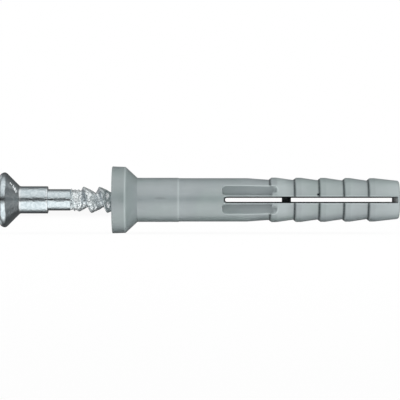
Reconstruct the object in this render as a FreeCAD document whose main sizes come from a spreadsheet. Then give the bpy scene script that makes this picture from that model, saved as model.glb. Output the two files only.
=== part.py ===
import FreeCAD, Part
import os

import Sketcher

# Hammer fixing plug as it comes out of the box: a moulded nylon sleeve, with its nail screw part way in.
# It lies along X, in millimetres. The origin is on its axis, where the cone of the collar meets the shank.
# +X points to the closed tip of the sleeve, -X to the head of the nail, and +Z is up.

SIZES = {
    # Sleeve, lengths from its front face
    "sleeve_length": 40.0,
    "collar_rim_length": 1.87,
    "collar_height": 3.52,
    "neck_end": 9.23,
    "neck_step": 0.12,
    "taper_start": 18.8,
    "first_rib": 21.82,
    # Sleeve, outside diameters
    "collar_front_dia": 9.34,
    "collar_back_dia": 9.22,
    "neck_dia": 6.16,
    "shank_dia": 6.06,
    "tip_dia": 5.30,
    # Sleeve, broken and rounded edges
    "collar_front_break": 0.15,
    "rib_front_break": 0.12,
    "tip_round": 0.42,
    # Ribs of the expansion zone
    "rib_count": 5,
    "rib_pitch": 3.42,
    "rib_rise": 0.28,
    "rib_land": 0.66,
    "crest_dia": 6.22,
    "crest_drop": 0.04,
    "root_dia": 5.62,
    "root_drop": 0.055,
    # Through slot of the expansion zone, with the web left across it
    "slot_start": 15.74,
    "slot_gap": 0.57,
    "slot_round": 0.27,
    "slot_draft": 2.6,
    "slot_end_draft": 12.0,
    "tip_wall": 0.95,
    "web_start": 23.70,
    "web_length": 1.22,
    "web_depth": 1.70,
    # Relief pockets beside the slot
    "pocket_start": 15.32,
    "pocket_end": 23.00,
    "pocket_inner": 0.62,
    "pocket_width": 1.30,
    "pocket_floor": 2.16,
    "pocket_round": 0.52,
    "pocket_ledge": 0.32,
    # Bore of the sleeve
    "seat_dia": 7.90,
    "guide_depth": 7.20,
    "guide_clearance": 0.05,
    "grip_clearance": 0.02,
    "tip_clearance": 0.03,
    "pilot_dia": 1.80,
    # Nail screw, lengths from the top of its head
    "nail_length": 30.0,
    "nail_standout": 15.75,
    "head_rim_height": 0.95,
    "nail_neck_length": 3.90,
    "nail_shank_length": 3.12,
    "nail_tip_length": 2.60,
    # Nail screw, diameters and head
    "head_dia": 7.68,
    "head_angle": 90.0,
    "nail_neck_dia": 3.80,
    "nail_shank_dia": 2.98,
    "nail_tip_dia": 0.70,
    "head_top_round": 0.52,
    "head_back_break": 0.14,
    "head_fillet": 0.30,
    "neck_break": 0.09,
    # Thread of the nail
    "thread_dia": 3.64,
    "core_dia": 2.00,
    "thread_pitch": 2.23,
    "thread_steep": 0.46,
    "thread_gap": 0.12,
    "thread_phase": 1.85,
    "run_in_length": 1.15,
    "run_in_dia": 2.80,
    # Cross recess in the head
    "recess_span": 4.50,
    "recess_wing": 1.10,
    "recess_depth": 2.10,
    "recess_draft": 9.0,
}

# How far a cutting tool or a joining piece reaches past the surface that it cuts or joins
OVERREACH = "0.2"

# A rounded rim is cut as two bevels, which meet at this share of the rounding from either side
BEVEL_SHARE = "0.29"

# How many turns of the thread the cut that forms the nail's point reaches past its end
TURNS_BEYOND = "2"

doc = FreeCAD.newDocument("hammer_fixing_plug")


def fill_sheet():
    """Write every driving size into the sheet, each in a cell with its own name."""
    sheet = doc.addObject("Spreadsheet::Sheet", "Sizes")
    for row, (name, value) in enumerate(SIZES.items(), start=1):
        sheet.set(f"A{row}", name)
        sheet.set(f"B{row}", str(value))
        sheet.setAlias(f"B{row}", name)
    doc.recompute()
    return sheet


sheet = fill_sheet()


def size(expression):
    """The present value of an expression in the sheet's names."""
    return float(sheet.evalExpression(expression))


def add_body(label):
    body = doc.addObject("PartDesign::Body", label)
    body.Label = label
    return body


def origin_part(body, role):
    return next(part for part in body.Origin.OriginFeatures if part.Role == role)


def add_sketch(body, name, plane):
    sketch = body.newObject("Sketcher::SketchObject", name)
    sketch.AttachmentSupport = (origin_part(body, plane), [""])
    sketch.MapMode = "FlatFace"
    return sketch


def draw_outline(sketch, corners):
    """A closed outline of straight lines. A corner is its place across and up, and its rounding if any."""
    points = [FreeCAD.Vector(size(corner[0]), size(corner[1]), 0) for corner in corners]
    lines = [
        sketch.addGeometry(Part.LineSegment(start, end))
        for start, end in zip(points, points[1:] + points[:1])
    ]
    for line, following in zip(lines, lines[1:] + lines[:1]):
        sketch.addConstraint(Sketcher.Constraint("Coincident", line, 2, following, 1))
    for line, corner in zip(lines, corners):
        bind(sketch, Sketcher.Constraint("DistanceX", -1, 1, line, 1, size(corner[0])), corner[0])
        bind(sketch, Sketcher.Constraint("DistanceY", -1, 1, line, 1, size(corner[1])), corner[1])
    for line, corner in zip(lines, corners):
        if len(corner) == 3:
            arc = sketch.GeometryCount
            sketch.fillet(line, 1, size(corner[2]), True, True)
            bind(sketch, Sketcher.Constraint("Radius", arc, size(corner[2])), corner[2])


def bind(sketch, constraint, expression):
    """Add a constraint whose value follows an expression in the sheet's names."""
    index = sketch.addConstraint(constraint)
    sketch.setExpression(f"Constraints[{index}]", expression)


def spin(body, kind, name, corners):
    """A full turn of an outline about the piece's long axis, adding or cutting."""
    sketch = add_sketch(body, f"{name}_outline", "XZ_Plane")
    draw_outline(sketch, corners)
    feature = body.newObject(kind, name)
    feature.Profile = sketch
    feature.ReferenceAxis = (sketch, ["H_Axis"])
    feature.Angle = 360
    doc.recompute()


def mirror_to_far_side(body, feature):
    """Repeat a feature of the near side on the far side of the upright middle plane."""
    mirrored = body.newObject("PartDesign::Mirrored", f"far_{feature.Name}")
    mirrored.Originals = [feature]
    mirrored.MirrorPlane = (origin_part(body, "XZ_Plane"), [""])
    body.Tip = mirrored
    doc.recompute()


# Sleeve.


def sleeve_outside(body):
    """Collar with its cone, neck, shank, the saw-tooth ribs one behind the other, and the blunt tip."""
    corners = [
        ("0", "0"),
        ("0", "Sizes.collar_front_dia / 2 - Sizes.collar_front_break"),
        ("Sizes.collar_front_break", "Sizes.collar_front_dia / 2"),
        ("Sizes.collar_rim_length", "Sizes.collar_back_dia / 2"),
        ("Sizes.collar_height", "Sizes.neck_dia / 2"),
        ("Sizes.neck_end", "Sizes.neck_dia / 2"),
        ("Sizes.neck_end + Sizes.neck_step", "Sizes.shank_dia / 2"),
        ("Sizes.taper_start", "Sizes.shank_dia / 2"),
    ]
    tip_bevel = f"{BEVEL_SHARE} * Sizes.tip_round"
    for rib in range(int(size("Sizes.rib_count"))):
        root = f"(Sizes.first_rib + {rib} * Sizes.rib_pitch)"
        root_level = f"(Sizes.root_dia - {rib} * Sizes.root_drop) / 2"
        crest_level = f"(Sizes.crest_dia - {rib} * Sizes.crest_drop) / 2"
        crest_start = f"{root} + Sizes.rib_rise + Sizes.rib_front_break"
        corners.append((root, root_level))
        corners.append((f"{root} + Sizes.rib_rise", f"{crest_level} - Sizes.rib_front_break"))
        corners.append((crest_start, crest_level))
        corners.append((f"{crest_start} + Sizes.rib_land", crest_level))
    corners.append(("Sizes.sleeve_length - Sizes.tip_round", "Sizes.tip_dia / 2"))
    corners.append((f"Sizes.sleeve_length - {tip_bevel}", f"Sizes.tip_dia / 2 - {tip_bevel}"))
    corners.append(("Sizes.sleeve_length", "Sizes.tip_dia / 2 - Sizes.tip_round"))
    corners.append(("Sizes.sleeve_length", "0"))
    spin(body, "PartDesign::Revolution", "outside", corners)


def sleeve_bore(body):
    """Countersunk seat for the nail's head, guide for its neck, grip for its thread, pilot up to the web."""
    seat = "Sizes.seat_dia / 2"
    guide = "(Sizes.nail_neck_dia / 2 + Sizes.guide_clearance)"
    grip = "(Sizes.thread_dia / 2 + Sizes.grip_clearance)"
    pilot = "Sizes.pilot_dia / 2"
    nose = "(Sizes.nail_length - Sizes.nail_standout + Sizes.tip_clearance)"
    corners = [
        ("0", "0"),
        ("0", seat),
        (f"({seat} - {guide}) / tan(Sizes.head_angle / 2)", guide),
        ("Sizes.guide_depth", guide),
        (f"Sizes.guide_depth + {guide} - {grip}", grip),
        (nose, grip),
        (nose, pilot),
        ("Sizes.web_start", pilot),
        ("Sizes.web_start", "0"),
    ]
    spin(body, "PartDesign::Groove", "bore", corners)


def slot_corners(depth):
    """Outline of the slot at one depth from the middle plane. It widens outwards by its walls' draft."""
    half = f"(Sizes.slot_gap / 2 + {depth} * tan(Sizes.slot_draft))"
    start = f"Sizes.slot_start - {depth} * tan(Sizes.slot_draft)"
    end = f"Sizes.sleeve_length - Sizes.tip_wall + {depth} * tan(Sizes.slot_end_draft)"
    return [
        (start, f"-{half}", "Sizes.slot_round"),
        (end, f"-{half}"),
        (end, half),
        (start, half, "Sizes.slot_round"),
    ]


def sleeve_slot(body):
    """The slot that lets the sleeve spread, with a short web left across it at the end of the bore."""
    reach = f"(Sizes.crest_dia / 2 + {OVERREACH})"
    middle = add_sketch(body, "slot_middle", "XZ_Plane")
    draw_outline(middle, slot_corners("0"))
    mouth = add_sketch(body, "slot_mouth", "XZ_Plane")
    mouth.setExpression("AttachmentOffset.Base.z", reach)
    draw_outline(mouth, slot_corners(reach))
    slot = body.newObject("PartDesign::SubtractiveLoft", "slot")
    slot.Profile = middle
    slot.Sections = [mouth]
    slot.Ruled = True
    doc.recompute()
    mirror_to_far_side(body, slot)
    web_level = f"(Sizes.slot_gap / 2 + {OVERREACH})"
    web_end = "Sizes.web_start + Sizes.web_length"
    web_sketch = add_sketch(body, "web_outline", "XZ_Plane")
    draw_outline(
        web_sketch,
        [
            ("Sizes.web_start", f"-{web_level}"),
            (web_end, f"-{web_level}"),
            (web_end, web_level),
            ("Sizes.web_start", web_level),
        ],
    )
    web = body.newObject("PartDesign::Pad", "web")
    web.Profile = web_sketch
    web.SideType = "Symmetric"
    web.setExpression("Length", "Sizes.web_depth")
    doc.recompute()


def sleeve_pockets(body):
    """Flat-floored pockets above and below the slot, each narrowed by a ledge where it cuts a rib."""
    ledge_start = "Sizes.first_rib + Sizes.rib_rise + Sizes.rib_front_break"
    outer = "(Sizes.pocket_inner + Sizes.pocket_width)"
    ledge = "(Sizes.pocket_inner + Sizes.pocket_ledge)"
    for name, side in (("upper_pocket", ""), ("lower_pocket", "-")):
        sketch = add_sketch(body, f"{name}_outline", "XZ_Plane")
        sketch.setExpression("AttachmentOffset.Base.z", "Sizes.pocket_floor")
        draw_outline(
            sketch,
            [
                ("Sizes.pocket_start", f"{side}Sizes.pocket_inner", "Sizes.pocket_round"),
                (ledge_start, f"{side}Sizes.pocket_inner"),
                (ledge_start, f"{side}{ledge}"),
                ("Sizes.pocket_end", f"{side}{ledge}"),
                ("Sizes.pocket_end", f"{side}{outer}", "Sizes.pocket_round"),
                ("Sizes.pocket_start", f"{side}{outer}", "Sizes.pocket_round"),
            ],
        )
        pocket = body.newObject("PartDesign::Pocket", name)
        pocket.Profile = sketch
        pocket.Reversed = True
        pocket.setExpression("Length", "Sizes.crest_dia / 2")
        doc.recompute()
        mirror_to_far_side(body, pocket)


def make_sleeve():
    body = add_body("expansion_sleeve")
    sleeve_outside(body)
    sleeve_bore(body)
    sleeve_slot(body)
    sleeve_pockets(body)
    body.setExpression("Placement.Base.x", "-Sizes.collar_height")
    return body


# Nail screw.

CONE_END = "(Sizes.head_rim_height + (Sizes.head_dia - Sizes.nail_neck_dia) / 2 / tan(Sizes.head_angle / 2))"
NECK_END = f"({CONE_END} + Sizes.nail_neck_length)"
SHANK_END = f"({NECK_END} + Sizes.nail_shank_length)"


def nail_thread(body):
    """Core with a coarse saw-tooth thread, steep towards the head, that starts and ends at a taper."""
    core = "Sizes.core_dia / 2"
    crest = "Sizes.thread_dia / 2"
    sunk = f"(Sizes.core_dia / 2 - {OVERREACH})"
    spin(
        body,
        "PartDesign::Revolution",
        "core",
        [(NECK_END, "0"), (NECK_END, core), ("Sizes.nail_length", core), ("Sizes.nail_length", "0")],
    )
    foot = f"({SHANK_END} + Sizes.thread_phase - Sizes.thread_pitch - Sizes.thread_steep)"
    back = f"{foot} + Sizes.thread_pitch - Sizes.thread_gap"
    sketch = add_sketch(body, "thread_outline", "XZ_Plane")
    draw_outline(
        sketch,
        [
            (foot, sunk),
            (back, sunk),
            (back, core),
            (f"{foot} + Sizes.thread_steep", crest),
            (foot, core),
        ],
    )
    thread = body.newObject("PartDesign::AdditiveHelix", "thread")
    thread.Profile = sketch
    thread.ReferenceAxis = (sketch, ["H_Axis"])
    thread.Mode = "pitch-height-angle"
    thread.setExpression("Pitch", "Sizes.thread_pitch")
    thread.setExpression("Height", f"Sizes.nail_length - {foot}")
    thread.Angle = 0
    thread.Growth = 0
    doc.recompute()
    outside = "Sizes.thread_dia"
    run_in = "Sizes.run_in_dia / 2"
    run_in_end = f"({SHANK_END} + Sizes.run_in_length)"
    spin(
        body,
        "PartDesign::Groove",
        "run_in",
        [
            (CONE_END, run_in),
            (run_in_end, run_in),
            (f"{run_in_end} + {outside} - {run_in}", outside),
            (CONE_END, outside),
        ],
    )
    tip = "Sizes.nail_tip_dia / 2"
    beyond = f"Sizes.nail_length + {TURNS_BEYOND} * Sizes.thread_pitch"
    lead = f"(Sizes.nail_tip_length / ({crest} - {tip}))"
    spin(
        body,
        "PartDesign::Groove",
        "point",
        [
            ("Sizes.nail_length", tip),
            (beyond, tip),
            (beyond, outside),
            (f"Sizes.nail_length - ({outside} - {tip}) * {lead}", outside),
        ],
    )


def nail_blank(body):
    """Head with its rounded rim and cone, thick neck, and the thinner shank that the thread runs out of."""
    rim = "Sizes.head_dia / 2"
    neck = "Sizes.nail_neck_dia / 2"
    shank = "Sizes.nail_shank_dia / 2"
    top_bevel = f"{BEVEL_SHARE} * Sizes.head_top_round"
    corners = [
        ("0", "0"),
        ("0", f"{rim} - Sizes.head_top_round"),
        (top_bevel, f"{rim} - {top_bevel}"),
        ("Sizes.head_top_round", rim),
        ("Sizes.head_rim_height - Sizes.head_back_break", rim),
        ("Sizes.head_rim_height + Sizes.head_back_break", f"{rim} - Sizes.head_back_break"),
        (CONE_END, neck, "Sizes.head_fillet"),
        (f"{NECK_END} - Sizes.neck_break", neck),
        (NECK_END, f"{neck} - Sizes.neck_break"),
        (NECK_END, shank),
        (f"{SHANK_END} - Sizes.neck_break", shank),
        (SHANK_END, f"{shank} - Sizes.neck_break"),
        (SHANK_END, "0"),
    ]
    spin(body, "PartDesign::Revolution", "blank", corners)


def nail_recess(body):
    """Cross recess in the top of the head, narrowing with depth, so that the nail can be unscrewed again."""
    tip = "Sizes.recess_span / 2"
    wing = "Sizes.recess_wing / 2"
    corners = []
    arm = [(tip, f"-{wing}"), (tip, wing), (wing, wing)]
    for quarter in range(4):
        corners += arm
        arm = [(f"-({up})", across) for across, up in arm]
    sketch = add_sketch(body, "recess_outline", "YZ_Plane")
    draw_outline(sketch, corners)
    recess = body.newObject("PartDesign::Pocket", "recess")
    recess.Profile = sketch
    recess.Reversed = True
    recess.setExpression("Length", "Sizes.recess_depth")
    recess.setExpression("TaperAngle", "-Sizes.recess_draft")
    doc.recompute()


def make_nail():
    body = add_body("nail_screw")
    nail_thread(body)
    nail_blank(body)
    nail_recess(body)
    body.setExpression("Placement.Base.x", "-Sizes.collar_height - Sizes.nail_standout")
    return body


def check(bodies):
    """Stop if a feature has failed or a piece is no valid solid."""
    for item in doc.Objects:
        if "Invalid" in item.State or "Error" in item.State:
            raise RuntimeError(f"{item.Name} has failed: {item.getStatusString()}")
    for body in bodies:
        if body.Shape.isNull() or not body.Shape.isValid() or len(body.Shape.Solids) != 1:
            raise RuntimeError(f"{body.Label} is not one valid solid")


pieces = [make_sleeve(), make_nail()]
doc.recompute()
check(pieces)
os.makedirs("parts", exist_ok=True)
for piece in pieces:
    piece.Shape.exportStep(f"parts/{piece.Label}.step")
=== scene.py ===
import math

import bmesh
import bpy
from mathutils import Euler, Matrix, Vector, noise


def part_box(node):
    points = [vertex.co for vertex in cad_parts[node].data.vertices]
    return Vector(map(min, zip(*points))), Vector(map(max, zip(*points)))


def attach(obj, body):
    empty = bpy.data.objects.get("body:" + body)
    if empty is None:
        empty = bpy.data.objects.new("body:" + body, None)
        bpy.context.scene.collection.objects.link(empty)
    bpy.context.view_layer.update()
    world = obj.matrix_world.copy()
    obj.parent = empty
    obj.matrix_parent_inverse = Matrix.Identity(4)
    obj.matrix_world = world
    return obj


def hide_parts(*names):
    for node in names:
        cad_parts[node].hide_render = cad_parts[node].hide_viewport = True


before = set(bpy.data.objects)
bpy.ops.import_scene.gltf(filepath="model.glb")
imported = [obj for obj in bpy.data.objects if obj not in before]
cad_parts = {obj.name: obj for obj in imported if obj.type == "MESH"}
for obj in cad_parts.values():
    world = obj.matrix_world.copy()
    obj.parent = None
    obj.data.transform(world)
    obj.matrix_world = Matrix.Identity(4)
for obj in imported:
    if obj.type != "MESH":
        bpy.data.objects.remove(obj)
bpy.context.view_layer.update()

# Sleeve.
# The real piece is one moulding in grey nylon, with a collar, a plain shank and a slotted and ribbed end.
# Its skin is turned from one outline, cut open along the slot, and pressed in where the mould left pockets.

MM = 0.001
sleeve_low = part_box("expansion_sleeve")[0]
front_face = sleeve_low.x / MM

# Lengths from the front face of the collar and radii, in millimetres.
collar_rim = 1.87
collar_height = 3.52
collar_front_radius = 4.67
collar_back_radius = 4.61
neck_radius = 3.08
neck_end = 9.23
shank_radius = 3.03
taper_start = 18.8
first_rib = 21.82
rib_pitch = 3.42
rib_count = 5
rib_rise = 0.40
rib_land = 0.66
crest_radius = 3.11
crest_drop = 0.02
root_radius = 2.81
root_drop = 0.0275
sleeve_length = 40.0
tip_radius = 2.65
seat_radius = 3.95
seat_depth = 2.0
guide_radius = 1.95
guide_depth = 7.2
grip_radius = 1.84
bore_end = 14.28

# Rows of faces around the sleeve, the turn between two points of a rounding, and the turn that counts as
# an edge.
rows = 240
row_angle = 2 * math.pi / rows
arc_step = math.radians(15)
edge_angle = math.radians(38)


def rounded(outline):
    """The points of an outline given as (along, out, rounding) corners, with an arc at each rounded one."""
    points = []
    for index, (along, out, rounding) in enumerate(outline):
        corner = Vector((along, out))
        if rounding == 0:
            points.append(corner)
            continue
        before = (Vector(outline[index - 1][:2]) - corner).normalized()
        after = (Vector(outline[index + 1][:2]) - corner).normalized()
        half = before.angle(after) / 2
        reach = rounding / math.tan(half)
        centre = corner + (before + after).normalized() * rounding / math.sin(half)
        first = corner + before * reach - centre
        turn = first.angle_signed(corner + after * reach - centre)
        steps = max(2, round(abs(turn) / arc_step))
        for step in range(steps + 1):
            arm = first.copy()
            arm.rotate(Matrix.Rotation(-turn * step / steps, 2))
            points.append(centre + arm)
    return points


def turned(outline, steps, start_angle):
    """A mesh turned about the X axis from an outline in millimetres, closed where that ends on the axis."""
    mesh = bmesh.new()
    verts = [mesh.verts.new((point.x, 0, point.y)) for point in outline]
    edges = [mesh.edges.new(pair) for pair in zip(verts, verts[1:])]
    bmesh.ops.rotate(mesh, verts=verts, cent=(0, 0, 0), matrix=Matrix.Rotation(start_angle, 3, "X"))
    bmesh.ops.spin(
        mesh, geom=verts + edges, cent=(0, 0, 0), axis=(1, 0, 0), angle=2 * math.pi,
        steps=steps, use_merge=True, use_duplicate=False,
    )
    bmesh.ops.remove_doubles(mesh, verts=mesh.verts, dist=1e-5)
    bmesh.ops.recalc_face_normals(mesh, faces=mesh.faces)
    return mesh


def finished(mesh, name, material, node):
    """Turn a mesh in millimetres from the sleeve's front face into a piece that stands for its CAD node."""
    bmesh.ops.translate(mesh, verts=mesh.verts, vec=(front_face, 0, 0))
    bmesh.ops.scale(mesh, verts=mesh.verts, vec=(MM, MM, MM))
    for face in mesh.faces:
        face.smooth = True
    data = bpy.data.meshes.new(name)
    mesh.to_mesh(data)
    mesh.free()
    data.set_sharp_from_angle(angle=edge_angle)
    piece = bpy.data.objects.new(name, data)
    bpy.context.scene.collection.objects.link(piece)
    data.materials.append(material)
    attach(piece, "root")
    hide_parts(node)


def extruded(mesh, edges):
    """Grow faces from open edges where they are, and give back the new points and the new open edges."""
    grown = bmesh.ops.extrude_edge_only(mesh, edges=edges)["geom"]
    verts = [item for item in grown if isinstance(item, bmesh.types.BMVert)]
    return verts, [item for item in grown if isinstance(item, bmesh.types.BMEdge) and item.is_boundary]


def softened(mesh, edges, width, segments):
    """Round the edges of a cut in a mesh."""
    bmesh.ops.bevel(
        mesh, geom=edges, offset=width, offset_type="OFFSET", affect="EDGES",
        segments=segments, profile=0.5, material=-1, clamp_overlap=True,
    )


def node_group(name, inputs, output):
    """A shader node group with its sockets, and the nodes that its inside starts from and ends at."""
    group = bpy.data.node_groups.new(name, "ShaderNodeTree")
    for title, kind, value in inputs:
        socket = group.interface.new_socket(title, in_out="INPUT", socket_type=kind)
        if value is not None:
            socket.default_value = value
    group.interface.new_socket(output, in_out="OUTPUT", socket_type="NodeSocketFloat")
    return group, group.nodes.new("NodeGroupInput"), group.nodes.new("NodeGroupOutput")


def math_node(tree, operation, *terms):
    """A math node whose inputs are numbers or the outputs of other nodes."""
    node = tree.nodes.new("ShaderNodeMath")
    node.operation = operation
    for socket, term in zip(node.inputs, terms):
        if isinstance(term, (int, float)):
            socket.default_value = term
        else:
            tree.links.new(term, socket)
    return node.outputs["Value"]


# Cloudy patches that fade from 0 to 1, for uneven colour and gloss on both of the plug's pieces.
clouds, start, end = node_group(
    "clouds",
    [
        ("Vector", "NodeSocketVector", None),
        ("Scale", "NodeSocketFloat", 1000.0),
        ("Detail", "NodeSocketFloat", 3.0),
        ("Low", "NodeSocketFloat", 0.4),
        ("High", "NodeSocketFloat", 0.6),
    ],
    "Mask",
)
cloud_noise = clouds.nodes.new("ShaderNodeTexNoise")
cloud_range = clouds.nodes.new("ShaderNodeMapRange")
cloud_range.interpolation_type = "SMOOTHSTEP"
clouds.links.new(start.outputs["Vector"], cloud_noise.inputs["Vector"])
clouds.links.new(start.outputs["Scale"], cloud_noise.inputs["Scale"])
clouds.links.new(start.outputs["Detail"], cloud_noise.inputs["Detail"])
clouds.links.new(cloud_noise.outputs["Fac"], cloud_range.inputs["Value"])
clouds.links.new(start.outputs["Low"], cloud_range.inputs["From Min"])
clouds.links.new(start.outputs["High"], cloud_range.inputs["From Max"])
clouds.links.new(cloud_range.outputs["Result"], end.inputs["Mask"])

# A few small round specks: pores and dust in the plastic, pinholes in the plating.
specks, start, end = node_group(
    "specks",
    [
        ("Vector", "NodeSocketVector", None),
        ("Scale", "NodeSocketFloat", 400.0),
        ("Size", "NodeSocketFloat", 0.05),
        ("Share", "NodeSocketFloat", 0.1),
    ],
    "Mask",
)
cells = specks.nodes.new("ShaderNodeTexVoronoi")
specks.links.new(start.outputs["Vector"], cells.inputs["Vector"])
specks.links.new(start.outputs["Scale"], cells.inputs["Scale"])
cell_value = specks.nodes.new("ShaderNodeSeparateColor")
specks.links.new(cells.outputs["Color"], cell_value.inputs["Color"])
chosen = math_node(specks, "LESS_THAN", cell_value.outputs["Red"], start.outputs["Share"])
spot = specks.nodes.new("ShaderNodeMapRange")
spot.interpolation_type = "SMOOTHSTEP"
spot.inputs["To Min"].default_value = 1
spot.inputs["To Max"].default_value = 0
specks.links.new(cells.outputs["Distance"], spot.inputs["Value"])
spot.inputs["From Min"].default_value = 0
specks.links.new(start.outputs["Size"], spot.inputs["From Max"])
specks.links.new(math_node(specks, "MULTIPLY", spot.outputs["Result"], chosen), end.inputs["Mask"])

# One mark at a chosen place, such as a pore in the plastic or a nick in the plating.
mark, start, end = node_group(
    "mark",
    [
        ("Vector", "NodeSocketVector", None),
        ("Centre", "NodeSocketVector", None),
        ("Size", "NodeSocketVector", None),
    ],
    "Mask",
)
mark_offset = mark.nodes.new("ShaderNodeVectorMath")
mark_offset.operation = "SUBTRACT"
mark.links.new(start.outputs["Vector"], mark_offset.inputs[0])
mark.links.new(start.outputs["Centre"], mark_offset.inputs[1])
mark_scaled = mark.nodes.new("ShaderNodeVectorMath")
mark_scaled.operation = "DIVIDE"
mark.links.new(mark_offset.outputs["Vector"], mark_scaled.inputs[0])
mark.links.new(start.outputs["Size"], mark_scaled.inputs[1])
mark_reach = mark.nodes.new("ShaderNodeVectorMath")
mark_reach.operation = "LENGTH"
mark.links.new(mark_scaled.outputs["Vector"], mark_reach.inputs[0])
mark_fade = mark.nodes.new("ShaderNodeMapRange")
mark_fade.interpolation_type = "SMOOTHSTEP"
mark_fade.inputs["From Min"].default_value = 0.4
mark_fade.inputs["From Max"].default_value = 1
mark_fade.inputs["To Min"].default_value = 1
mark_fade.inputs["To Max"].default_value = 0
mark.links.new(mark_reach.outputs["Value"], mark_fade.inputs["Value"])
mark.links.new(mark_fade.outputs["Result"], end.inputs["Mask"])


def placed_group(tree, group, vector, **values):
    """A node group in a material, with its values set, and the mask that it puts out."""
    node = tree.nodes.new("ShaderNodeGroup")
    node.node_tree = group
    tree.links.new(vector, node.inputs["Vector"])
    for title, value in values.items():
        node.inputs[title].default_value = value
    return node.outputs["Mask"]


def blended(tree, mask, low, high, strength=1):
    """A colour that goes from low towards high with a mask. Either end may be another node's colour."""
    if strength != 1:
        mask = math_node(tree, "MULTIPLY", mask, strength)
    mix = tree.nodes.new("ShaderNodeMix")
    mix.data_type = "RGBA"
    tree.links.new(mask, mix.inputs["Factor"])
    for socket, colour in ((mix.inputs["A"], low), (mix.inputs["B"], high)):
        if isinstance(colour, tuple):
            socket.default_value = (*colour, 1)
        else:
            tree.links.new(colour, socket)
    return mix.outputs["Result"]


def lengthwise(tree, vector, squeeze):
    """Coordinates in which a pattern is drawn out along the part into streaks."""
    node = tree.nodes.new("ShaderNodeMapping")
    node.inputs["Scale"].default_value = (squeeze, 1, 1)
    tree.links.new(vector, node.inputs["Vector"])
    return node.outputs["Vector"]


def bumped(tree, height, distance):
    """Surface normals for a height from 0 to about 1, which stands for a distance."""
    node = tree.nodes.new("ShaderNodeBump")
    node.inputs["Distance"].default_value = distance
    tree.links.new(height, node.inputs["Height"])
    return node.outputs["Normal"]


def painted(tree, name):
    """A value from 0 to 1 that is painted on the points of a mesh."""
    node = tree.nodes.new("ShaderNodeAttribute")
    node.attribute_name = name
    return node.outputs["Fac"]


# Greys of the nylon in its cloudy patches and flow marks, the light grey of painted highlights, the greys of
# dust and a smudge, and the near-black of painted shade and the open pore.
green_greys = ((0.226, 0.280, 0.277), (0.254, 0.309, 0.306))
blue_greys = ((0.235, 0.276, 0.287), (0.262, 0.303, 0.314))
flow_grey = (0.214, 0.258, 0.262)
highlight_grey = (0.45, 0.52, 0.52)
dust_grey = (0.10, 0.13, 0.13)
smudge_grey = (0.14, 0.165, 0.165)
shade_black = (0.012, 0.016, 0.018)

# One small smudge behind the cone and one open pore at the foot of the third rib, in the frame's metres.
smudge_place = (3.2 * MM, -3.0 * MM, 0.22 * MM)
smudge_size = (1.1 * MM, 0.5 * MM, 0.24 * MM)
pore_place = (25.14 * MM, -2.75 * MM, 0.76 * MM)
pore_size = (0.30 * MM, 0.30 * MM, 0.30 * MM)
nylon_relief = 0.004 * MM


def nylon():
    """Grey nylon as moulded: a satin skin with faint flow marks along the part, dust and one open pore, with
    painted highlights and painted shade from the mesh.
    """
    material = bpy.data.materials.new("grey_nylon")
    material.use_nodes = True
    tree = material.node_tree
    shader = tree.nodes["Principled BSDF"]
    shader.inputs["IOR"].default_value = 1.53
    shader.inputs["Coat Roughness"].default_value = 0.28
    shader.inputs["Coat IOR"].default_value = 1.6
    place = tree.nodes.new("ShaderNodeTexCoord").outputs["Object"]
    patches = placed_group(tree, clouds, place, Scale=420, Detail=4, Low=0.36, High=0.64)
    streaks = lengthwise(tree, place, 0.12)
    flow = placed_group(tree, clouds, streaks, Scale=1600, Detail=3, Low=0.3, High=0.7)
    grain = placed_group(tree, clouds, place, Scale=5200, Detail=2, Low=0.25, High=0.75)
    dust = placed_group(tree, specks, place, Scale=260, Size=0.035, Share=0.16)
    hue = placed_group(tree, clouds, place, Scale=190, Detail=1, Low=0.35, High=0.65)
    greener = blended(tree, patches, *green_greys)
    bluer = blended(tree, patches, *blue_greys)
    colour = blended(tree, hue, greener, bluer)
    colour = blended(tree, flow, colour, flow_grey, 0.35)
    # Painted highlights on edges, the slot's lips and the backs of the ribs.
    colour = blended(tree, painted(tree, "painted_highlight"), colour, highlight_grey)
    colour = blended(tree, dust, colour, dust_grey, 0.55)
    smudge = placed_group(tree, mark, place, Centre=smudge_place, Size=smudge_size)
    colour = blended(tree, smudge, colour, smudge_grey, 0.5)
    # Painted shade from the mesh, with the open pore joined to it, turns the colour near-black and dulls the
    # gloss.
    painted_shade = math_node(tree, "MULTIPLY_ADD", grain, 0.25, 0.8)
    painted_shade = math_node(tree, "MULTIPLY", painted(tree, "painted_shade"), painted_shade)
    pore = placed_group(tree, mark, place, Centre=pore_place, Size=pore_size)
    painted_shade = math_node(tree, "MAXIMUM", painted_shade, pore)
    colour = blended(tree, painted_shade, colour, shade_black)
    tree.links.new(colour, shader.inputs["Base Color"])
    unshaded = math_node(tree, "SUBTRACT", 1.0, painted_shade)
    tree.links.new(unshaded, shader.inputs["Coat Weight"])
    tree.links.new(math_node(tree, "MULTIPLY", unshaded, 0.9), shader.inputs["Specular IOR Level"])
    gloss = math_node(tree, "MULTIPLY_ADD", patches, 0.10, 0.34)
    tree.links.new(math_node(tree, "MULTIPLY_ADD", painted_shade, 0.4, gloss), shader.inputs["Roughness"])
    height = math_node(tree, "ADD", math_node(tree, "MULTIPLY", flow, 0.6), grain)
    tree.links.new(bumped(tree, height, nylon_relief), shader.inputs["Normal"])
    return material


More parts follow.
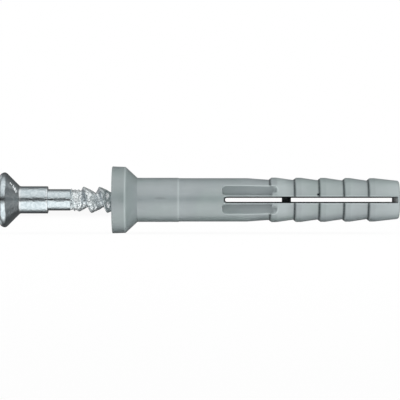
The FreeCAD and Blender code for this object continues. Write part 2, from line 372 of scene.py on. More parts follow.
# The outline runs from the end of the bore out to the front, over the collar and down to the shank.
# A ring of points beside an edge keeps its rounding crisp.
bore_cone = 1.3
bore_cone_drop = 0.9
guide_chamfer = 0.1
seat_rounding = 0.1
rim_rounding = 0.12
rim_draft = 0.005
cone_foot_rounding = 0.08
neck_step = 0.10
neck_rounding = 0.03
edge_ring = 0.22
cone_ring = 0.20
cone_ring_drop = 0.185
sleeve_corners = [
    (bore_end, 0, 0),
    (bore_end, grip_radius - bore_cone_drop, 0),
    (bore_end - bore_cone, grip_radius, 0),
    (guide_depth + guide_chamfer, grip_radius, 0),
    (guide_depth, guide_radius, 0),
    (seat_depth, guide_radius, 0),
    (0, seat_radius, seat_rounding),
    (0, collar_front_radius, rim_rounding),
    (collar_rim - edge_ring, collar_back_radius + rim_draft, 0),
    (collar_rim, collar_back_radius, rim_rounding),
    (collar_rim + cone_ring, collar_back_radius - cone_ring_drop, 0),
    (collar_height, neck_radius, cone_foot_rounding),
    (neck_end - edge_ring, neck_radius, 0),
    (neck_end, neck_radius, neck_rounding),
    (neck_end + neck_step, shank_radius, neck_rounding),
    (neck_end + neck_step + edge_ring, shank_radius, 0),
    (bore_end, shank_radius, 0),
]

# Fine columns of points where the pockets are pressed in, down the taper and the back of the first rib.
slot_mouth = 15.55
slot_mouth_end = 39.7
pocket_start = 15.32
pocket_end = 23.0
column = 0.09
lead_columns = 7
fine_start = slot_mouth - lead_columns * column
columns = round((taper_start - fine_start) / column)
sleeve_corners += [(fine_start + step * column, shank_radius, 0) for step in range(columns)]
sleeve_corners.append((taper_start, shank_radius, 0))
taper = (shank_radius - root_radius) / (first_rib - taper_start)
rib_ring = 0.15
columns = math.floor((first_rib - rib_ring - taper_start) / column)
sleeve_corners += [
    (taper_start + step * column, shank_radius - taper * step * column, 0) for step in range(1, columns)
]

# The ribs rise steeply from their feet, carry a short land and fall back slowly to the next foot.
foot_ring = 0.12
foot_ring_rise = 0.012
flank_ring = 0.14
foot_rounding = 0.05
crest_rounding = 0.18
back_rounding = 0.9
back_start = 0.2
back_columns = 12
for rib in range(rib_count):
    root = first_rib + rib * rib_pitch
    crest = crest_radius - rib * crest_drop
    foot_radius = root_radius - rib * root_drop
    sleeve_corners.append((root - foot_ring, foot_radius + foot_ring_rise, 0))
    sleeve_corners.append((root, foot_radius, foot_rounding))
    flank_radius = foot_radius + flank_ring / rib_rise * (crest - foot_radius)
    sleeve_corners.append((root + flank_ring, flank_radius, 0))
    sleeve_corners.append((root + rib_rise, crest, crest_rounding))
    land_end = root + rib_rise + rib_land
    sleeve_corners.append((land_end, crest, back_rounding))
    if rib == 0:
        slope = (crest - root_radius + root_drop) / (root + rib_pitch - land_end)
        for step in range(back_columns):
            behind = back_start + step * column
            sleeve_corners.append((land_end + behind, crest - slope * behind, 0))
tip_rounding = 0.29
tip_ring = 0.45
tip_draw = 0.03
sleeve_corners += [
    (slot_mouth_end, tip_radius + tip_draw, 0),
    (sleeve_length, tip_radius, tip_rounding),
    (sleeve_length, tip_radius - tip_ring, 0),
    (sleeve_length, 0, 0),
]

sleeve_mesh = turned(rounded(sleeve_corners), rows, row_angle / 2)
# Painted highlights and painted shade, as values on the mesh's points.
painted_highlight = sleeve_mesh.verts.layers.float.new("painted_highlight")
painted_shade = sleeve_mesh.verts.layers.float.new("painted_shade")


def eased(value, low, high):
    """0 below low, 1 above high, and a smooth rise between."""
    share = min(1, max(0, (value - low) / (high - low)))
    return share * share * (3 - 2 * share)


# Rows beside the slot keep one height, so that its edges run straight over the ribs.
# On the rounding of the tip they draw in with it, and towards the top and bottom rows they give way.
# Points further out than skin_radius are on the skin, and not in the bore.
row_shift = 0.38
straight_rows = (42, 75)
skin_radius = guide_radius + 0.2
for vert in sleeve_mesh.verts:
    radius = math.hypot(vert.co.y, vert.co.z)
    if vert.co.x > neck_end and radius > skin_radius:
        height = abs(vert.co.z) / radius
        ease = 1 - eased(math.degrees(math.asin(min(1, height))), *straight_rows)
        height = min(height * (radius + ease * min(shank_radius - radius, row_shift)), radius)
        vert.co.z = math.copysign(height, vert.co.z)
        vert.co.y = math.copysign(math.sqrt(radius * radius - height * height), vert.co.y)


def peak(value, centre, reach):
    """1 at a centre, and down to 0 at a reach on both sides of it."""
    return max(0, 1 - abs(value - centre) / reach)


# The pockets: rounded windows above and below the slot, pressed into the skin on both sides.
# Past the rise of the first rib a ledge beside the slot narrows them, and they run out on the rib's back.
pocket_inner = 0.62
pocket_outer = 1.92
pocket_ledge = 0.94
pocket_rounding = 0.55
pocket_floor = 2.16
pocket_softness = 0.055
pocket_margin = 0.2
pocket_run_out = 0.4
pocket_run_out_start = pocket_end - 0.9

# Skin this far out to the side is on one of the two faces that the slot and the pockets open to.
side_depth = 1.0


def outside_pocket(along, up):
    """How far a place is outside a pocket's outline, or below 0 inside it, in millimetres."""
    centre = ((pocket_start + pocket_end) / 2, (pocket_inner + pocket_outer) / 2)
    half = ((pocket_end - pocket_start) / 2, (pocket_outer - pocket_inner) / 2)
    across = abs(along - centre[0]) - half[0] + pocket_rounding
    over = abs(up - centre[1]) - half[1] + pocket_rounding
    outside = math.hypot(max(across, 0), max(over, 0)) + min(max(across, over), 0) - pocket_rounding
    ledge = min(along - first_rib - rib_rise, pocket_ledge - up)
    return max(outside, ledge)


def paint(vert, layer, amount):
    """Give a point at least this much of a painted value."""
    vert[layer] = max(vert[layer], amount)


# The pocket's outer edge gets a painted highlight, its start painted shade, and its floor is painted a
# little darker.
edge_highlight = 0.95
edge_width = 0.12
edge_widening = 0.08
start_shade = 0.55
floor_darkening = 0.07
for vert in sleeve_mesh.verts:
    along = vert.co.x
    near_pocket = pocket_start - pocket_margin < along < pocket_end + pocket_margin
    if near_pocket and abs(vert.co.y) > side_depth:
        outside = outside_pocket(along, abs(vert.co.z))
        run_out = pocket_run_out * eased(along, pocket_run_out_start, pocket_end)
        share = 1 - eased(outside, -pocket_softness - run_out, pocket_softness)
        depth = abs(vert.co.y) + share * min(0, pocket_floor - abs(vert.co.y))
        vert.co.y = math.copysign(depth, vert.co.y)
        outer_edge = eased(abs(vert.co.z), pocket_inner + 0.2, pocket_inner + 0.5)
        reach = edge_width + edge_widening * eased(along, first_rib, pocket_end)
        paint(vert, painted_highlight, edge_highlight * outer_edge * peak(outside, 0.035, reach))
        start_edge = 1 - eased(along, pocket_start, pocket_start + 0.3)
        paint(vert, painted_shade, start_shade * start_edge * peak(outside, -0.03, 0.09))
        paint(vert, painted_shade, floor_darkening * share)

# Painted highlights and shade: edges, the slot's lips and the backs of the ribs are painted lighter as
# highlights, the collar's rim is painted a shade darker, and painted shade sits at the foot of each rib.
collar_highlight = 0.6
neck_highlight = 0.5
lip_highlight = 0.9
back_highlight = 0.30
collar_darkening = 0.09
slot_rows = 11
slot_half = shank_radius * math.sin(slot_rows / 2 * row_angle)
for vert in sleeve_mesh.verts:
    along = vert.co.x
    up = abs(vert.co.z)
    if math.hypot(vert.co.y, vert.co.z) < pocket_floor:
        continue
    paint(vert, painted_highlight, collar_highlight * peak(along, collar_rim, 0.16))
    paint(vert, painted_highlight, neck_highlight * peak(along, neck_end, 0.14))
    # The collar's rim is painted a shade darker.
    if along < collar_rim - 0.15:
        paint(vert, painted_shade, collar_darkening)
    if abs(vert.co.y) > side_depth and slot_mouth < along < slot_mouth_end:
        paint(vert, painted_highlight, lip_highlight * peak(up, slot_half + 0.08, 0.12))
    if along > first_rib - 0.3:
        rib = min(rib_count - 1, max(0, math.floor((along - first_rib + 0.2) / rib_pitch)))
        beyond = along - first_rib - rib * rib_pitch
        clear = 1 if rib > 0 else eased(up, pocket_outer + 0.02, pocket_outer + 0.12)
        # Painted shade at the foot of each rib.
        paint(vert, painted_shade, clear * peak(beyond, flank_ring, 0.24))
        if outside_pocket(along, up) > 0:
            # A painted highlight on the sloping back of each rib.
            behind = beyond - rib_rise - rib_land
            paint(vert, painted_highlight, back_highlight * eased(behind, -0.05, 0.2))

# The slot: its window is cut in the skin on both sides, and its walls lean in to a narrower middle.
# The window's end nearer the collar is a half circle. Points within near of a place count as on it.
near = 0.01
slot_middle_half = 0.275
slot_middle_start = 15.74
slot_middle_end = 39.05
window = [
    face for face in sleeve_mesh.faces
    if abs(face.calc_center_median().z) < slot_half - near
    and slot_mouth < face.calc_center_median().x < slot_mouth_end
    and abs(face.calc_center_median().y) > side_depth
]
for vert in sleeve_mesh.verts:
    ahead = vert.co.x - slot_mouth
    up = abs(vert.co.z)
    if abs(vert.co.y) > side_depth and up < slot_half + near and -2 * near < ahead < slot_half:
        if ahead < 2 * near:
            turn = math.radians(45) * up / slot_half
        elif up > slot_half - near:
            turn = math.radians(45) * (1 + ahead / slot_half)
        else:
            continue
        vert.co.x = slot_mouth + slot_half * (1 - math.cos(turn))
        vert.co.z = math.copysign(slot_half * math.sin(turn), vert.co.z)
bmesh.ops.delete(sleeve_mesh, geom=window, context="FACES")


def slot_middle(mouth):
    """The place half way through the slot that lies behind a place on its mouth."""
    ahead = mouth.x - slot_mouth
    if ahead < slot_half:
        along = slot_middle_start + ahead * slot_middle_half / slot_half
    else:
        straight = (mouth.x - slot_mouth - slot_half) / (slot_mouth_end - slot_mouth - slot_half)
        round_end = slot_middle_start + slot_middle_half
        along = round_end + straight * (slot_middle_end - round_end)
    return Vector((along, 0, mouth.z * slot_middle_half / slot_half))


lip_rounding = 0.055
lip_shade = 0.6
lip = [edge for edge in sleeve_mesh.edges if edge.is_boundary]
# The slot's edges are painted in shade, fading out at the tip.
for vert in {vert for edge in lip for vert in edge.verts}:
    vert[painted_highlight] = 0
    vert[painted_shade] = lip_shade * (1 - eased(vert.co.x, slot_mouth_end - 0.2, slot_mouth_end))
lip_ring, wall_edges = extruded(sleeve_mesh, lip)
middle_ring = extruded(sleeve_mesh, wall_edges)[0]

# Each ring of the walls lies a share of the way in to the middle. The walls are painted in shade, which
# thins at the end near the tip.
for ring, inward, tip_light in ((lip_ring, 0.12, 1), (middle_ring, 1, 0.3)):
    for vert in ring:
        at_tip = eased(vert.co.x, slot_mouth_end - 0.04, slot_mouth_end - 0.01)
        vert[painted_shade] = 1 - tip_light * at_tip
        vert[painted_highlight] = 0
        vert.co = vert.co.lerp(slot_middle(vert.co), inward)
bmesh.ops.remove_doubles(sleeve_mesh, verts=middle_ring, dist=1e-4)
bmesh.ops.recalc_face_normals(sleeve_mesh, faces=sleeve_mesh.faces)
softened(sleeve_mesh, lip, lip_rounding, 3)

# The web that the moulder leaves across the slot holds the two halves together until the nail spreads them.
web_start = 23.70
web_length = 1.22
web_depth = 1.70
web_root = 0.1
web_shade = 0.9
web = bmesh.ops.create_cube(sleeve_mesh, size=1)["verts"]
bmesh.ops.scale(sleeve_mesh, verts=web, vec=(web_length, web_depth, 2 * (slot_middle_half + web_root)))
bmesh.ops.translate(sleeve_mesh, verts=web, vec=(web_start + web_length / 2, 0, 0))
# The web is painted in deep shade.
for vert in web:
    paint(vert, painted_shade, web_shade)

finished(sleeve_mesh, "sleeve_body", nylon(), "expansion_sleeve")

# Nail screw.
# The real piece is cold headed from steel wire, thread rolled and zinc plated.
# Rolling leaves a torn lip and uneven ridges where the thread runs out below the plain shank.

# Colours of the plating in its cloudy patches, where it is pierced, torn or chipped, the painted shade of
# the torn thread's crevices and of the foot of the thread, and the white of chips and painted highlights.
zinc_colours = ((0.61, 0.695, 0.73), (0.72, 0.80, 0.83))
pinhole_colour = (0.35, 0.38, 0.40)
torn_colour = (0.92, 0.97, 0.98)
crevice_shade_colour = (0.25, 0.30, 0.32)
foot_shade_colour = (0.13, 0.16, 0.19)
chip_and_highlight_colour = (0.95, 0.97, 0.98)
zinc_relief = 0.010 * MM

# Nicks on the cone of the head and scuffs on the thread: places along, out and up in the frame, and sizes.
nicks = [
    (-17.62, 2.0, 2.32, 0.14),
    (-17.45, 2.0, 2.15, 0.14),
    (-17.20, 2.0, 1.85, 0.22),
    (-17.02, 2.0, 1.50, 0.26),
    (-16.85, 2.0, 1.18, 0.20),
    (-4.22, 1.3, 0.62, 0.48),
    (-4.12, 1.3, -0.72, 0.52),
]


def zinc():
    """Bright zinc over drawn and rolled steel: uneven gloss, grain, drawing lines, nicks and pinholes, with
    painted shade in the thread's crevices and at its foot, and painted highlights on the neck.
    """
    material = bpy.data.materials.new("bright_zinc")
    material.use_nodes = True
    tree = material.node_tree
    shader = tree.nodes["Principled BSDF"]
    place = tree.nodes.new("ShaderNodeTexCoord").outputs["Object"]
    torn = painted(tree, "torn")
    scales = placed_group(tree, clouds, place, Scale=3900, Detail=2, Low=0.38, High=0.52)
    nick = 0
    for along, out, up, size in nicks:
        nick_place = (along * MM, -out * MM, up * MM)
        nick_size = (size * 0.6 * MM, MM, size * 1.3 * MM)
        spot = placed_group(tree, mark, place, Centre=nick_place, Size=nick_size)
        nick = math_node(tree, "MAXIMUM", nick, spot)
    nick = math_node(tree, "MULTIPLY", nick, math_node(tree, "MULTIPLY_ADD", scales, 0.5, 0.5))
    mottle = placed_group(tree, clouds, place, Scale=2300, Detail=5, Low=0.38, High=0.62)
    patches = placed_group(tree, clouds, place, Scale=700, Detail=2, Low=0.35, High=0.65)
    streaks = lengthwise(tree, place, 0.15)
    drawn = placed_group(tree, clouds, streaks, Scale=5200, Detail=2, Low=0.3, High=0.7)
    pinholes = placed_group(tree, specks, place, Scale=1100, Size=0.09, Share=0.14)
    colour = blended(tree, mottle, *zinc_colours)
    colour = blended(tree, pinholes, colour, pinhole_colour, 0.6)
    colour = blended(tree, torn, colour, torn_colour, 0.9)
    # Painted shade in the crevices between the torn scales.
    crevice_shade = math_node(tree, "MULTIPLY", torn, math_node(tree, "SUBTRACT", 1.0, scales))
    colour = blended(tree, crevice_shade, colour, crevice_shade_colour, 0.7)
    # Painted shade at the foot of the steep flank.
    colour = blended(tree, painted(tree, "shade"), colour, foot_shade_colour)
    # Chips and the painted highlights on the neck's edges take the same white.
    bright = math_node(tree, "MAXIMUM", nick, painted(tree, "painted_highlight"))
    colour = blended(tree, bright, colour, chip_and_highlight_colour)
    tree.links.new(colour, shader.inputs["Base Color"])
    matt = math_node(tree, "MULTIPLY", nick, 0.9)
    matt = math_node(tree, "MAXIMUM", math_node(tree, "MULTIPLY", torn, 0.25), matt)
    tree.links.new(math_node(tree, "SUBTRACT", 1.0, matt), shader.inputs["Metallic"])
    dull = math_node(tree, "MULTIPLY_ADD", mottle, -0.10, 0.27)
    dull = math_node(tree, "MULTIPLY_ADD", patches, -0.06, dull)
    tree.links.new(math_node(tree, "MULTIPLY_ADD", nick, 0.3, dull), shader.inputs["Roughness"])
    height = math_node(tree, "MULTIPLY_ADD", drawn, 0.35, mottle)
    height = math_node(tree, "MULTIPLY", height, painted(tree, "uneven"))
    height = math_node(tree, "MULTIPLY_ADD", math_node(tree, "MULTIPLY", torn, scales), 1.3, height)
    height = math_node(tree, "MULTIPLY_ADD", nick, -7.0, height)
    tree.links.new(bumped(tree, height, zinc_relief), shader.inputs["Normal"])
    return material


# Lengths from the top of the head and radii, in millimetres.
nail_standout = 15.75
head_radius = 3.84
rim_height = 0.95
nail_neck_radius = 1.90
nail_shank_radius = 1.49
cone_end = rim_height + head_radius - nail_neck_radius
nail_neck_end = cone_end + 3.90
nail_shank_end = nail_neck_end + 3.12
recess_mouth = 2.75
front_rounding = 0.76
rim_back_rounding = 0.55
neck_fillet = 0.34
shoulder_rounding = 0.09
shoulder_ring = 0.26
shank_end_rounding = 0.05
nail_rows = 160
blank_corners = [
    (0, recess_mouth, 0),
    (0, head_radius, front_rounding),
    (rim_height, head_radius, rim_back_rounding),
    (cone_end, nail_neck_radius, neck_fillet),
    (cone_end + neck_fillet, nail_neck_radius, 0),
    (nail_neck_end - shoulder_ring, nail_neck_radius, 0),
    (nail_neck_end, nail_neck_radius, shoulder_rounding),
    (nail_neck_end, nail_shank_radius, 0),
    (nail_shank_end, nail_shank_radius, shank_end_rounding),
    (nail_shank_end, 0, 0),
]
nail_mesh = turned(rounded(blank_corners), nail_rows, 0)

# The cross recess: four wings around the axis, drawn in under the flat of the head with a slight draft.
# Below the wings its floor draws in to a point.
wing_reach = 2.25
wing_half = 0.55
recess_depth = 2.10
wing_share = 0.8
recess_shrink = 0.78
recess_rounding = 0.07
corners = []
for quarter in range(4):
    turn = Matrix.Rotation(quarter * math.pi / 2, 3, "X")
    for out, side in ((wing_reach, -wing_half), (wing_reach, wing_half), (wing_half, wing_half)):
        corners.append(nail_mesh.verts.new(turn @ Vector((0, out, side))))
cross = [nail_mesh.edges.new((corners[i - 1], corners[i])) for i in range(len(corners))]
mouth = [edge for edge in nail_mesh.edges if edge.is_boundary]
bmesh.ops.triangle_fill(nail_mesh, use_beauty=True, use_dissolve=False, edges=mouth + cross)
foot, foot_edges = extruded(nail_mesh, cross)
bmesh.ops.scale(nail_mesh, verts=foot, vec=(1, recess_shrink, recess_shrink))
bmesh.ops.translate(nail_mesh, verts=foot, vec=(recess_depth * wing_share, 0, 0))
bmesh.ops.pointmerge(nail_mesh, verts=extruded(nail_mesh, foot_edges)[0], merge_co=(recess_depth, 0, 0))
bmesh.ops.recalc_face_normals(nail_mesh, faces=nail_mesh.faces)
softened(nail_mesh, cross, recess_rounding, 2)

# The run-out: a short rough stretch between the plain shank and the first full turn of the thread.
# It starts inside the shank, so that no gap shows, and rises to its torn lip as it leaves it.
run_out_end = 11.55
run_out_radius = 1.36
run_out_overlap = 0.2
run_out_chamfer = 0.25
run_out_rows = 144
core_radius = 1.0
ring_step = 0.045
lip_gap = 0.14
lip_slant = 0.21
lip_height = 0.22
lip_width = 0.10
ridge_pitch = 0.52
ridge_height = 0.05
ragged_height = 0.10
chip_height = 0.05
run_out_start = nail_shank_end - run_out_overlap
run_out_corners = [(run_out_start, 0, 0)]
run_out_corners += [
    (run_out_start + index * ring_step, run_out_radius, 0)
    for index in range(round((run_out_end - nail_shank_end + run_out_overlap) / ring_step))
]
run_out_tail = run_out_end + run_out_chamfer
run_out_corners += [(run_out_tail, core_radius, 0), (run_out_tail, 0, 0)]
run_out = turned(rounded(run_out_corners), run_out_rows, 0)


def pushed_out(vert, radius, new_radius):
    """Move a point straight out from the axis, or in towards it, to a new radius."""
    vert.co.y *= new_radius / radius
    vert.co.z *= new_radius / radius


for vert in run_out.verts:
    radius = math.hypot(vert.co.y, vert.co.z)
    if radius < core_radius / 2:
        continue
    around = math.atan2(-vert.co.y, vert.co.z)
    along = vert.co.x
    lip_place = nail_shank_end + lip_gap + lip_slant * (1 - math.cos(around))
    lip = lip_height * math.exp(-((along - lip_place) / lip_width) ** 2)
    lip *= 0.55 + 0.9 * abs(noise.noise(Vector((math.cos(around) * 3, math.sin(around) * 3, 5))))
    spot = Vector((along * 2.6, math.cos(around) * 2.2, math.sin(around) * 2.2))
    ragged = noise.noise(spot * 1.7) + 0.6 * noise.noise(spot * 4.1 + Vector((7, 3, 1)))
    chips = noise.noise(Vector((along * 7, math.cos(around) * 9, math.sin(around) * 9)))
    ridges = ridge_height * math.sin(2 * math.pi * (along / ridge_pitch - around / math.pi))
    ridges += ragged_height * ragged + chip_height * chips
    sunk = eased(along, nail_shank_end - 0.04, nail_shank_end + 0.04)
    pushed_out(vert, radius, radius + sunk * (lip + ridges))

# The thread: a saw-tooth ridge, steep towards the head, that winds right-handed to the point.
# It grows out of the run-out, and its first turns are torn.
thread_pitch = 2.23
thread_steps = 96
thread_start = nail_shank_end + 0.4
full_height = (nail_shank_end + 0.75, nail_shank_end + 1.55)
torn_stretch = (nail_shank_end + 3.0, nail_shank_end + 6.0)
torn_height = 0.07
crest_out = 1.82
crest_at_top = 11.76
crest_along = 0.52
flank_belly = 0.05
nail_length = 30.0
point_length = 2.6
point_radius = 0.35

# One turn's profile as (along, out): from the core up the steep flank and over the crest, then down the
# shallow flank, which bulges a little, back to the core.
thread_profile = [
    (0.0, core_radius + 0.01), (0.06, core_radius), (0.14, core_radius + 0.08), (0.29, core_radius + 0.42),
    (0.44, crest_out - 0.06), (0.49, crest_out - 0.01), (0.55, crest_out), (0.63, crest_out - 0.05),
]
flank_steps = 11
flank_start, flank_end = Vector(thread_profile[-1]), Vector((1.95, core_radius + 0.12))
for index in range(1, flank_steps + 1):
    spot = flank_start.lerp(flank_end, index / flank_steps)
    belly = flank_belly * math.sin(math.pi * index / flank_steps)
    thread_profile.append((spot.x, spot.y + belly))
thread_profile += [(2.12, core_radius + 0.03), (thread_pitch, core_radius + 0.01)]
thread_low = crest_at_top - crest_along - 2 * thread_pitch
turns = math.ceil((nail_length - thread_low) / thread_pitch) + 1
thread = bmesh.new()
profile = [thread.verts.new((thread_low + along, 0, out)) for along, out in thread_profile]
strip = [thread.edges.new(pair) for pair in zip(profile, profile[1:])]
bmesh.ops.spin(
    thread, geom=profile + strip, cent=(0, 0, 0), axis=(1, 0, 0), dvec=(thread_pitch / thread_steps, 0, 0),
    angle=2 * math.pi * turns, steps=thread_steps * turns, use_merge=False, use_duplicate=False,
)
bmesh.ops.remove_doubles(thread, verts=thread.verts, dist=1e-3)
for along, facing in ((thread_start, -1), (nail_length, 1)):
    everything = thread.verts[:] + thread.edges[:] + thread.faces[:]
    cut = bmesh.ops.bisect_plane(
        thread, geom=everything, dist=1e-5, clear_outer=True,
        plane_co=(along, 0, 0), plane_no=(facing, 0, 0),
    )["geom_cut"]
    rim = [item for item in cut if isinstance(item, bmesh.types.BMEdge)]
    bmesh.ops.contextual_create(thread, geom=rim)
for vert in thread.verts:
    radius = math.hypot(vert.co.y, vert.co.z)
    growth = eased(vert.co.x, *full_height)
    limit = run_out_radius + (crest_out - run_out_radius) * growth
    to_point = (nail_length - vert.co.x) / point_length
    limit = min(limit, point_radius + (crest_out - point_radius) * max(0, to_point))
    tearing = 1 - 0.75 * eased(vert.co.x, *torn_stretch)
    chips = noise.noise(vert.co * 3.1) + 0.7 * noise.noise(vert.co * 6.7 + Vector((3, 8, 5)))
    torn_by = torn_height * tearing * chips * eased(radius, 0.5, 0.9)
    pushed_out(vert, max(radius, 1e-6), min(radius, limit) + torn_by)
bmesh.ops.recalc_face_normals(thread, faces=thread.faces)

for part in (run_out, thread):
    part_data = bpy.data.meshes.new("nail_part")
    part.to_mesh(part_data)
    part.free()
    nail_mesh.from_mesh(part_data)
    bpy.data.meshes.remove(part_data)

# What is painted on the nail: painted highlights on the edges of the neck, the torn plating of the thread,
# the painted shade at the foot of its steep flank, and how uneven the plating lies, which is least on the
# head.
shoulder_highlight = 0.8
fillet_highlight = 0.6
foot_shade = 0.8
head_unevenness = 0.3
painted_highlight = nail_mesh.verts.layers.float.new("painted_highlight")
torn = nail_mesh.verts.layers.float.new("torn")
shade = nail_mesh.verts.layers.float.new("shade")
uneven = nail_mesh.verts.layers.float.new("uneven")
for vert in nail_mesh.verts:
    along = vert.co.x
    beyond_head = eased(along, cone_end - 0.2, cone_end + 0.1)
    vert[uneven] = head_unevenness + (1 - head_unevenness) * beyond_head
    if along > run_out_end:
        around = math.atan2(-vert.co.y, vert.co.z)
        beyond = (along - thread_low - thread_pitch * around / (2 * math.pi)) % thread_pitch
        vert[shade] = foot_shade * peak(beyond, 0.27, 0.26)
    vert[torn] = eased(along, nail_shank_end - 0.02, nail_shank_end + 0.06)
    on_neck = math.hypot(vert.co.y, vert.co.z) > nail_shank_radius + 0.1
    # Painted highlights on the neck's shoulder and at the foot of the head's cone.
    if on_neck and along < nail_neck_end + near:
        paint(vert, painted_highlight, shoulder_highlight * peak(along, nail_neck_end, 0.24))
        paint(vert, painted_highlight, fillet_highlight * peak(along, cone_end + 0.02, 0.22))
bmesh.ops.translate(nail_mesh, verts=nail_mesh.verts, vec=(-nail_standout, 0, 0))
finished(nail_mesh, "nail_body", zinc(), "nail_screw")

# Studio.
# A white floor, a wide soft light above and in front of the part, and the camera at the photograph's angle.
# Dark flags around the camera and behind the part give the metal dark lines between bright ones.
# A white card behind the head and a faint glow at both ends keep the part's ends from going black.

floor_level = sleeve_low.z
floor_reach = 3
floor_mesh = bmesh.new()
bmesh.ops.create_grid(floor_mesh, x_segments=1, y_segments=1, size=floor_reach)
bmesh.ops.translate(floor_mesh, verts=floor_mesh.verts, vec=(0, 0, floor_level))
floor_data = bpy.data.meshes.new("floor")
floor_mesh.to_mesh(floor_data)
floor_mesh.free()
floor = bpy.data.objects.new("floor", floor_data)
bpy.context.scene.collection.objects.link(floor)
floor.visible_glossy = False


def ramp(tree, value, stops, span):
    """Grey levels along a value, whose lowest and highest are its span. A stop is a value and its level."""
    node = tree.nodes.new("ShaderNodeValToRGB")
    low, high = span
    elements = node.color_ramp.elements
    while len(elements) < len(stops):
        elements.new(0.5)
    for element, (at, level) in zip(elements, stops):
        element.position = (at - low) / (high - low)
        element.color = (level, level, level, 1)
    share = tree.nodes.new("ShaderNodeMapRange")
    share.inputs["From Min"].default_value = low
    share.inputs["From Max"].default_value = high
    tree.links.new(value, share.inputs["Value"])
    tree.links.new(share.outputs["Result"], node.inputs["Fac"])
    return node.outputs["Color"]


def put_out(tree, lighting, backdrop, output):
    """Give lamps and mirrors one shader, and the camera another behind the part and through its slot."""
    rays = tree.nodes.new("ShaderNodeLightPath")
    straight = math_node(tree, "MAXIMUM", rays.outputs["Is Camera Ray"], rays.outputs["Is Transmission Ray"])
    mix = tree.nodes.new("ShaderNodeMixShader")
    tree.links.new(straight, mix.inputs["Fac"])
    tree.links.new(lighting, mix.inputs[1])
    tree.links.new(backdrop, mix.inputs[2])
    tree.links.new(mix.outputs["Shader"], output)


# The floor throws light back on the part by stripes: tone by metres across it, the camera's side first.
floor_stops = [
    (-0.1, 0.05), (-0.05, 0.08), (-0.03, 0.95), (-0.0025, 0.98), (-0.0012, 0.75),
    (-0.0001, 0.25), (0.001, 0.08), (0.012, 0.12), (0.05, 0.7), (0.1, 0.8),
]
floor_material = bpy.data.materials.new("white_floor")
floor_material.use_nodes = True
tree = floor_material.node_tree
paper = tree.nodes["Principled BSDF"]
paper.inputs["Roughness"].default_value = 0.9
paper.inputs["Emission Strength"].default_value = 0.35
floor_place = tree.nodes.new("ShaderNodeSeparateXYZ")
tree.links.new(tree.nodes.new("ShaderNodeTexCoord").outputs["Object"], floor_place.inputs["Vector"])
paper_tone = ramp(tree, floor_place.outputs["Y"], floor_stops, (-0.1, 0.1))
tree.links.new(paper_tone, paper.inputs["Base Color"])
tree.links.new(paper_tone, paper.inputs["Emission Color"])

# The camera sees the floor almost white, with a faint shadow of the part.
seen_paper = tree.nodes.new("ShaderNodeBsdfDiffuse")
seen_paper.inputs["Color"].default_value = (0.9, 0.9, 0.9, 1)
glow = tree.nodes.new("ShaderNodeEmission")
glow.inputs["Color"].default_value = (1, 1, 1, 1)
glow.inputs["Strength"].default_value = 1.0
seen = tree.nodes.new("ShaderNodeMixShader")
seen.inputs["Fac"].default_value = 0.88
tree.links.new(seen_paper.outputs["BSDF"], seen.inputs[1])
tree.links.new(glow.outputs["Emission"], seen.inputs[2])
put_out(
    tree, paper.outputs["BSDF"], seen.outputs["Shader"], tree.nodes["Material Output"].inputs["Surface"],
)
floor_data.materials.append(floor_material)

# The studio around the part. The softbox is lit by degrees of climb from the camera, with 90 straight up.
# The rest goes by how far a direction points along the part, from -1 at the head's end to 1 at the tip's,
# and for the card's depth by how far it points away from the camera.
softbox_stops = [
    (-180, 0.10), (-150, 0.08), (-120, 0.05), (-100, 0.35), (-84, 0.95), (-20, 1.0), (-9, 0.35), (-2, 0.04),
    (9, 0.04), (21, 0.52), (36, 0.72), (80, 0.78), (95, 0.60), (118, 0.17), (150, 0.08), (180, 0.10),
]
end_stops = [
    (-1, 0.05), (-0.95, 0.08), (-0.82, 0.6), (-0.5, 1), (0.6, 1), (0.76, 0.95), (0.86, 0.18), (1, 0.10),
]
glow_stops = [(-1, 0.34), (-0.975, 0.22), (-0.955, 0), (0.88, 0), (0.96, 0.13), (1, 0.13)]
card_width_stops = [(-1, 1), (-0.5, 1), (-0.3, 0), (1, 0)]
card_depth_stops = [(-1, 0), (0.35, 0), (0.6, 0.45), (1, 0.45)]
studio_level = 1.2
world = bpy.data.worlds.new("studio")
bpy.context.scene.world = world
world.use_nodes = True
tree = world.node_tree
around = tree.nodes["Background"]
toward = tree.nodes.new("ShaderNodeSeparateXYZ")
tree.links.new(tree.nodes.new("ShaderNodeTexCoord").outputs["Generated"], toward.inputs["Vector"])
front = math_node(tree, "MULTIPLY", toward.outputs["Y"], -1)
climb = math_node(tree, "ARCTAN2", toward.outputs["Z"], front)
softbox = ramp(tree, math_node(tree, "DEGREES", climb), softbox_stops, (-180, 180))
ends = ramp(tree, toward.outputs["X"], end_stops, (-1, 1))
end_glow = ramp(tree, toward.outputs["X"], glow_stops, (-1, 1))
card_width = ramp(tree, toward.outputs["X"], card_width_stops, (-1, 1))
card_depth = ramp(tree, toward.outputs["Y"], card_depth_stops, (-1, 1))
level = math_node(tree, "ADD", math_node(tree, "MULTIPLY", softbox, ends), end_glow)
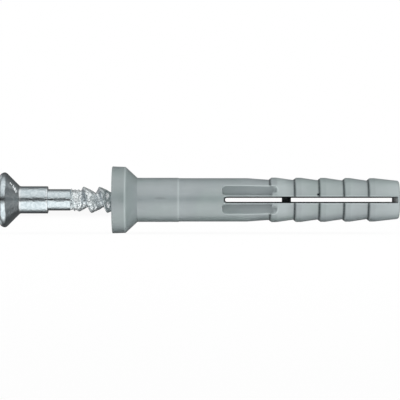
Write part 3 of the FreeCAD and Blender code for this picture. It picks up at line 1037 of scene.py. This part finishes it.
level = math_node(tree, "ADD", level, math_node(tree, "MULTIPLY", card_width, card_depth))
tree.links.new(level, around.inputs["Strength"])
around.inputs["Color"].default_value = (studio_level, studio_level, studio_level, 1)
white = tree.nodes.new("ShaderNodeBackground")
white.inputs["Color"].default_value = (1, 1, 1, 1)
put_out(
    tree, around.outputs["Background"], white.outputs["Background"],
    tree.nodes["World Output"].inputs["Surface"],
)

# Places of the lamps in metres. Each shines at the middle of the part and isn't mirrored in it.
part_middle = Vector((0.009, 0, 0))


def lamp(name, place, width, height, watts):
    """A soft rectangular lamp that shines at the part."""
    data = bpy.data.lights.new(name, "AREA")
    data.shape = "RECTANGLE"
    data.size = width
    data.size_y = height
    data.energy = watts
    item = bpy.data.objects.new(name, data)
    bpy.context.scene.collection.objects.link(item)
    item.location = place
    item.rotation_euler = (part_middle - Vector(place)).to_track_quat("-Z", "Y").to_euler()
    item.visible_glossy = False


lamp("front_softbox", (0.029, -0.24, 0.24), 0.5, 0.25, 0.24)
lamp("side_softbox", (0.22, -0.155, 0.144), 0.35, 0.35, 0.40)
lamp("head_softbox", (-0.29, -0.03, 0.15), 0.3, 0.3, 0.35)
lamp("back_softbox", (0.009, 0.26, 0.22), 0.5, 0.25, 0.45)

# The camera looks straight at the part's side, with the photograph's scale at the axis.
# The frame's origin stands at one named pixel column, and the axis almost in the middle row.
pixels_per_mm = 7.16
frame_pixels = 400
origin_pixel = 137.5
view_centre_x = (frame_pixels / 2 - origin_pixel) / pixels_per_mm
view_centre_z = -0.02
camera_distance = 340
sensor_width = 36
camera_data = bpy.data.cameras.new("camera")
camera_data.sensor_width = sensor_width
camera_data.lens = sensor_width * camera_distance * pixels_per_mm / frame_pixels
camera_data.clip_start = 0.01
camera_data.clip_end = 10
camera = bpy.data.objects.new("camera", camera_data)
bpy.context.scene.collection.objects.link(camera)
camera.location = (view_centre_x * MM, -camera_distance * MM, view_centre_z * MM)
camera.rotation_euler = Euler((math.pi / 2, 0, 0))
bpy.context.scene.camera = camera
bpy.context.scene.view_settings.view_transform = "Standard"
